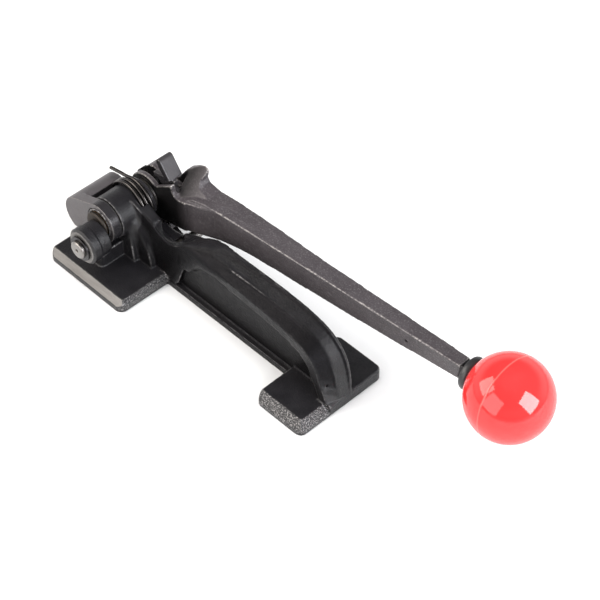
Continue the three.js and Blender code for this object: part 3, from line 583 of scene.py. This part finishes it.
def settle(piece, node):
    """Gives a finished piece its material and lets it stand for its CAD node."""
    slot = SLOT_OF[node]
    piece.data.materials.clear()
    piece.data.materials.append(SLOT_MATERIALS[slot])
    if "wear" not in piece.data.attributes:
        mark_wear(piece)
    if "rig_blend" not in piece:
        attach(piece, BODY_OF[node])
    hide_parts(node)


# ---- the casting ------------------------------------------------------------------------------
def bow_line(depth, y):
    """The bow's outer line at a given y, moved in by depth mm."""
    path = smooth_path([(x, y, z) for x, z in BOW_TOP], BOW_STEPS)
    out = []
    for i, p in enumerate(path):
        along = (path[min(i + 1, len(path) - 1)] - path[max(i - 1, 0)]).normalized()
        out.append(p + Vector((along.z, 0, -along.x)) * depth)
    return out


def casting():
    bm = cad_copy("frame_casting")
    bore, r, y0, y1, rounding = BARREL.values()
    add_lathe(bm, SHAFT, [(bore, y0), (r - rounding, y0), (r, y0 + rounding), (r, y1), (bore, y1)], 160)
    add_sweep(bm, bow_line(RIB["depth"], RIB["y"])[RIB["first"]:], RIB["r"], 12)
    piece = fuse(from_bmesh("casting", bm), 0.55, 4)
    for soft_place in SOFT_PLACES:
        melt(piece, *soft_place)
    shade(piece, FULLY_SMOOTH)
    mark_wear(piece)
    (x, y, z), (_, ny, nz) = skin(piece)
    # The front foot's near bevel is ground bare.
    front_bevel = (x < 68) & (y < 6.5) & (z > 3)
    store(piece, "bare", fade(-ny, 0.45, 0.25) * fade(nz, 0.45, 0.25) * front_bevel)
    # The low edges of the rear foot, and the rear edge of the front foot, are gritty.
    low = (z > 1.5) & (z < 8.3) & (nz < 0.93)
    rear_foot = (x > 172) & ((y < 17) | ((x > 204) & (y < 34)))
    front_foot = (x > 62) & (x < 70)
    store(piece, "grit", low & (rear_foot | front_foot))
    # The web's recess and the bow's underside get painted shade: more metallic over the dark paint, so they
    # reflect less of the room.
    painted_shade = fade(np.maximum(-ny - 0.25, -nz), 0, 0.25)
    store(piece, "dark_finish_and_painted_shade", painted_shade * fade(y, 32, 3) * (x > 46))
    settle(piece, "frame_casting")


# ---- the yoke and its spring ------------------------------------------------------------------
def yoke():
    piece = fuse(from_bmesh("yoke", cad_copy("gripper_yoke")), 0.45, 3)
    shade(piece, FULLY_SMOOTH)
    mark_wear(piece)
    (x, _, z), (_, ny, _) = skin(piece)
    away = np.hypot(x - SHAFT[0], z - SHAFT[1])
    ring_outside = (x > SHAFT[0] - 6) & (away > 12) & (ny > -0.7)
    store(piece, "dark_finish_and_painted_shade", 0.9 * ring_outside)
    settle(piece, "gripper_yoke")


def helix(axis, radius, y0, pitch, start, sweep, steps):
    out = []
    for i in range(steps + 1):
        turned = sweep * i / steps
        a = math.radians(start + turned)
        y = y0 + pitch * turned / 360
        out.append(Vector((axis[0] + radius * math.cos(a), y, axis[1] + radius * math.sin(a))))
    return out


def yoke_spring():
    r, wire, y0, pitch, start, sweep, steps = SPRING.values()
    turns = helix(SHAFT, r, y0, pitch, start, sweep, steps)
    first, end = turns[0], turns[-1]
    foot = [(first.x, y, first.z) for y in SPRING_FOOT_Y]
    tail = smooth_path(foot + [tuple(turns[2])], 6)[:-1]
    leg = smooth_path([tuple(end)] + [(end.x + dx, end.y, end.z + dz) for dx, dz in SPRING_LEG], 8)[1:]
    bm = bmesh.new()
    add_sweep(bm, tail + turns[3:] + leg, wire / 2, 16)
    piece = shade(from_bmesh("yoke_coil", bm), 50)
    mark_wear(piece)
    z = SPRING_HELD["z"]
    held, pushed = place(SPRING_HELD["frame_x"], end.y, z), place(SPRING_HELD["yoke_x"], end.y, z)
    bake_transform(piece, "frame", "gripper", start=held, end=pushed)
    settle(piece, "yoke_spring")


# ---- windlass ---------------------------------------------------------------------------------
def shaft():
    bm = bmesh.new()
    add_lathe(bm, SHAFT, SHAFT_PROFILE)
    piece = from_bmesh("shaft", bm)
    pin = bmesh.new()
    add_lathe(pin, CRANK, CRANK_PROFILE)
    combine(piece, pin, "UNION")
    shade(piece)
    (x, y, z), _ = skin(piece)
    # The flange and the crank pin's centre hole are made darker and rougher.
    flange = (y > 14) & (y < 20)
    centre_hole = (np.hypot(x - CRANK[0], z - CRANK[1]) < 0.9) & (y < 2)
    store(piece, "dull", flange | centre_hole)
    settle(piece, "main_shaft")


def drum():
    bm = bmesh.new()
    add_lathe(bm, CRANK, DRUM_PROFILE, 128)
    piece = from_bmesh("drum", bm)
    slot = bmesh.new()
    half, low, high, y0, y1 = DRUM_SLOT.values()
    outline = [(-half, low), (half, low), (half, high), (-half, high)]
    add_prism(slot, [(CRANK[0] + x, CRANK[1] + z) for x, z in outline], y0, y1)
    combine(piece, slot, "DIFFERENCE", overlapping=True)
    fuse(piece, 0.22, 3)
    shade(piece, FULLY_SMOOTH)
    mark_wear(piece)
    (_, y, _), _ = skin(piece)
    store(piece, "bare", 0.8 * fade(2.2 - y, 0, 0.5))
    settle(piece, "windlass_drum")


def snap_ring(node, name, axis, inner, outer, y0, y1, opens_at):
    """A flat wire clip with rounded edges and a mouth."""
    r = CLIP_ROUND
    bm = bmesh.new()
    add_lathe(bm, axis, [(inner + r, y0), (outer - r, y0), (outer, y0 + r), (outer, y1 - r), (outer - r, y1),
                         (inner + r, y1), (inner, y1 - r), (inner, y0 + r)])
    piece = from_bmesh(name, bm)
    mouth = bmesh.new()
    a = math.radians(opens_at)
    along = Vector((math.cos(a), math.sin(a)))
    side = Vector((-along.y, along.x)) * inner * 0.55
    near, far = along * inner * 0.2, along * outer * 2
    corners = [near - side, far - side, far + side, near + side]
    add_prism(mouth, [(axis[0] + p.x, axis[1] + p.y) for p in corners], y0 - 1, y1 + 1)
    combine(piece, mouth, "DIFFERENCE", overlapping=True)
    shade(piece)
    settle(piece, node)


# ---- lever and knob ---------------------------------------------------------------------------
def lever():
    """The CAD lever with its near flank, just behind the fork, filled out."""
    bm = cad_copy("lever_arm")
    back = [(x, LEVER_FLANK_BACK, z) for x, _, z in LEVER_FLANK]
    flank = [bm.verts.new(place(*p)) for p in LEVER_FLANK + back]
    for corners in ((0, 1, 2, 3), (7, 6, 5, 4), (0, 4, 5, 1), (1, 5, 6, 2), (2, 6, 7, 3), (3, 7, 4, 0)):
        bm.faces.new([flank[k] for k in corners])
    piece = fuse(from_bmesh("lever", bm), 0.55, 5)
    shade(piece, FULLY_SMOOTH)
    mark_wear(piece)
    (x, _, _), (_, ny, _) = skin(piece)
    # Painted shade darkens the near faces in front of x = 70, on the fork's cheek.
    store(piece, "dark_finish_and_painted_shade", fade(-ny, 0.25, 0.5) * fade(70 - x, 0, 14))
    settle(piece, "lever_arm")


def turn_to_knob(piece):
    """Moves a piece turned about KNOB_AXIS onto the knob's own line."""
    lean = Vector((0, 1, 0)).rotation_difference(KNOB_LINE).to_matrix().to_4x4()
    start = Matrix.Translation(place(*LEVER_TIP))
    piece.data.transform(start @ lean @ Matrix.Translation(-place(0, 0, 0)))
    piece.data.update()
    return piece


def ball():
    start = math.acos((KNOB_REACH - BALL_MOUTH) / BALL_R)
    angles = np.union1d(np.linspace(start, math.pi, 110), np.linspace(-0.05, 0.05, 25) + math.pi / 2)
    outer = []
    for a in angles:
        y = KNOB_REACH - BALL_R * math.cos(a)
        ridge = SEAM["height"] * math.exp(-(((y - KNOB_REACH) / SEAM["width"]) ** 2))
        outer.append((max(BALL_R * math.sin(a) + ridge, 0), y))
    outer[-1] = (0, KNOB_REACH + BALL_R)
    bm = bmesh.new()
    add_lathe(bm, KNOB_AXIS, BALL_BORE + outer, 128)
    piece = from_bmesh("ball", bm)
    (_, along, _), _ = skin(piece)
    store(piece, "seam", np.exp(-(((along - KNOB_REACH) / SEAM["width"]) ** 2)))
    turn_to_knob(piece)
    shade(piece, 50)
    settle(piece, "ball_knob")


def collar():
    bm = bmesh.new()
    add_lathe(bm, KNOB_AXIS, COLLAR_PROFILE)
    piece = turn_to_knob(from_bmesh("collar", bm))
    shade(piece)
    settle(piece, "knob_collar")


def nut():
    bm = bmesh.new()
    add_lathe(bm, KNOB_AXIS, NUT_PROFILE, 6)
    piece = turn_to_knob(from_bmesh("nut", bm))
    bevel(piece, 0.25, 30)
    shade(piece)
    settle(piece, "jam_nut")


# ---- pawls and small pieces --------------------------------------------------------------------
def pawl(node, name):
    """A pawl, black all over, with painted shade making its near faces blackest."""
    piece = fuse(from_bmesh(name, cad_copy(node)), 0.35, 3)
    shade(piece, FULLY_SMOOTH)
    mark_wear(piece)
    _, (_, ny, _) = skin(piece)
    # Black finish everywhere, with painted shade added on the faces turned to the near side.
    store(piece, "dark_finish_and_painted_shade", 0.6 + 0.4 * np.clip(-ny * 1.5, 0, 1))
    settle(piece, node)


def refined(node):
    """A small CAD solid with its edges broken."""
    piece = from_bmesh(node + "_skin", cad_copy(node))
    bevel(piece, 0.15, 35)
    shade(piece)
    settle(piece, node)


casting()
yoke()
yoke_spring()
shaft()
drum()
snap_ring("drum_snap_ring", "drum_clip", CRANK, 5, 8.4, 0, 1.1, 250)
snap_ring("shaft_snap_ring", "shaft_clip", SHAFT, 5.7, 9, 77.75, 78.85, 90)
snap_ring("holding_pawl_ring", "pawl_clip", HOLD_PIN, 2.45, 4.4, 66.9, 67.9, 20)
lever()
ball()
collar()
nut()
pawl("drive_pawl", "thumb_pawl")
pawl("holding_pawl", "catch_pawl")
for name in ("ratchet_wheel", "gripper_jaw", "base_plug", "base_plug_screw"):
    refined(name)
for node, obj in frame["nodes"].items():
    obj.data.materials.clear()
    obj.data.materials.append(SLOT_MATERIALS[SLOT_OF[node]])


# ---- stage ------------------------------------------------------------------------------------
NEAR_SIDE = Vector((0.717, -0.697, 0))      # along the floor, away from the tool's far side
KNOB = (0.283, 0.048, 0.071)                # metres, what the mirrored lamps aim at
MIDDLE = (0.12, 0.03, 0)


def along_near_side(tree, space):
    """How far a place or direction lies towards the near side."""
    node = tree.nodes.new("ShaderNodeVectorMath")
    node.operation = "DOT_PRODUCT"
    tree.links.new(space, node.inputs[0])
    node.inputs[1].default_value = NEAR_SIDE
    return node.outputs["Value"]


def floor():
    """A white table whose near end, well clear of the tool, runs off into grey: painted shade for the dim near
    side of the room, seen in the tool's gloss.
    """
    bm = bmesh.new()
    bmesh.ops.create_grid(bm, x_segments=2, y_segments=2, size=4)
    piece = from_bmesh("floor", bm)
    f = Finish("floor", (0.9, 0.9, 0.9), roughness=0.8, specular=0.2)
    near_end = f.span(along_near_side(f.tree, f.space), 420, 640)
    f.use("Base Color", f.colours(near_end, (0.62, 0.62, 0.62), (0.12, 0.12, 0.12)))
    piece.data.materials.append(f.material)


def softbox(name, place_m, aim_m, width, height, power, roll=0.0, colour=(1, 1, 1), mirrored=True):
    """A rectangular lamp; one that isn't mirrored lights the tool without showing in its gloss."""
    light = bpy.data.lights.new(name, "AREA")
    light.shape = "RECTANGLE"
    light.size = width
    light.size_y = height
    light.energy = power
    light.color = colour
    lamp = bpy.data.objects.new(name, light)
    bpy.context.scene.collection.objects.link(lamp)
    turn = (Vector(aim_m) - Vector(place_m)).to_track_quat("-Z", "Y").to_matrix()
    turn = turn @ Matrix.Rotation(math.radians(roll), 3, "Z")
    lamp.matrix_world = Matrix.Translation(place_m) @ turn.to_4x4()
    lamp.visible_glossy = mirrored


def camera():
    data = bpy.data.cameras.new("camera")
    data.sensor_width = 36
    data.lens = 120
    lens = bpy.data.objects.new("camera", data)
    bpy.context.scene.collection.objects.link(lens)
    forward = Vector((-0.4953, 0.4809, -0.7236)).normalized()
    right = Vector((0.6966, 0.7175, 0)).normalized()
    up = right.cross(forward)
    turn = Matrix((right, up, -forward)).transposed().to_4x4()
    lens.matrix_world = Matrix.Translation((0.7041, -0.5160, 0.8756)) @ turn
    bpy.context.scene.camera = lens


def world():
    """A dark ceiling over a bright backdrop, which is dimmer on the near side."""
    sky = bpy.data.worlds.new("studio")
    sky.use_nodes = True
    bpy.context.scene.world = sky
    tree = sky.node_tree
    back = tree.nodes["Background"]
    direction = tree.nodes.new("ShaderNodeTexCoord").outputs["Generated"]
    split = tree.nodes.new("ShaderNodeSeparateXYZ")
    tree.links.new(direction, split.inputs[0])
    product = tree.nodes.new("ShaderNodeMath")
    product.operation = "MULTIPLY"
    tree.links.new(map_range(tree, split.outputs["Z"], 0.18, 0.52, 1.0, 0.09), product.inputs[0])
    side = along_near_side(tree, direction)
    tree.links.new(map_range(tree, side, -0.2, 0.5, 1.0, 0.22), product.inputs[1])
    tree.links.new(product.outputs[0], back.inputs["Strength"])
    back.inputs["Color"].default_value = (1, 1, 1, 1)


floor()
softbox("right_box", (1.352, 0.125, 0.580), KNOB, 0.75, 0.95, 30, roll=24, colour=(0.95, 0.97, 1))
softbox("left_box", (0.218, -1.13, 0.486), KNOB, 0.9, 0.95, 9, roll=-12, colour=(1, 0.97, 0.95))
softbox("left_high_box", (-0.514, -0.633, 0.752), KNOB, 0.8, 0.75, 11, colour=(1, 0.95, 0.88))
softbox("top_box", (0.1, 0.1, 1.7), MIDDLE, 1.6, 1.6, 44, mirrored=False)
camera()
world()
bpy.context.scene.view_settings.view_transform = "Standard"
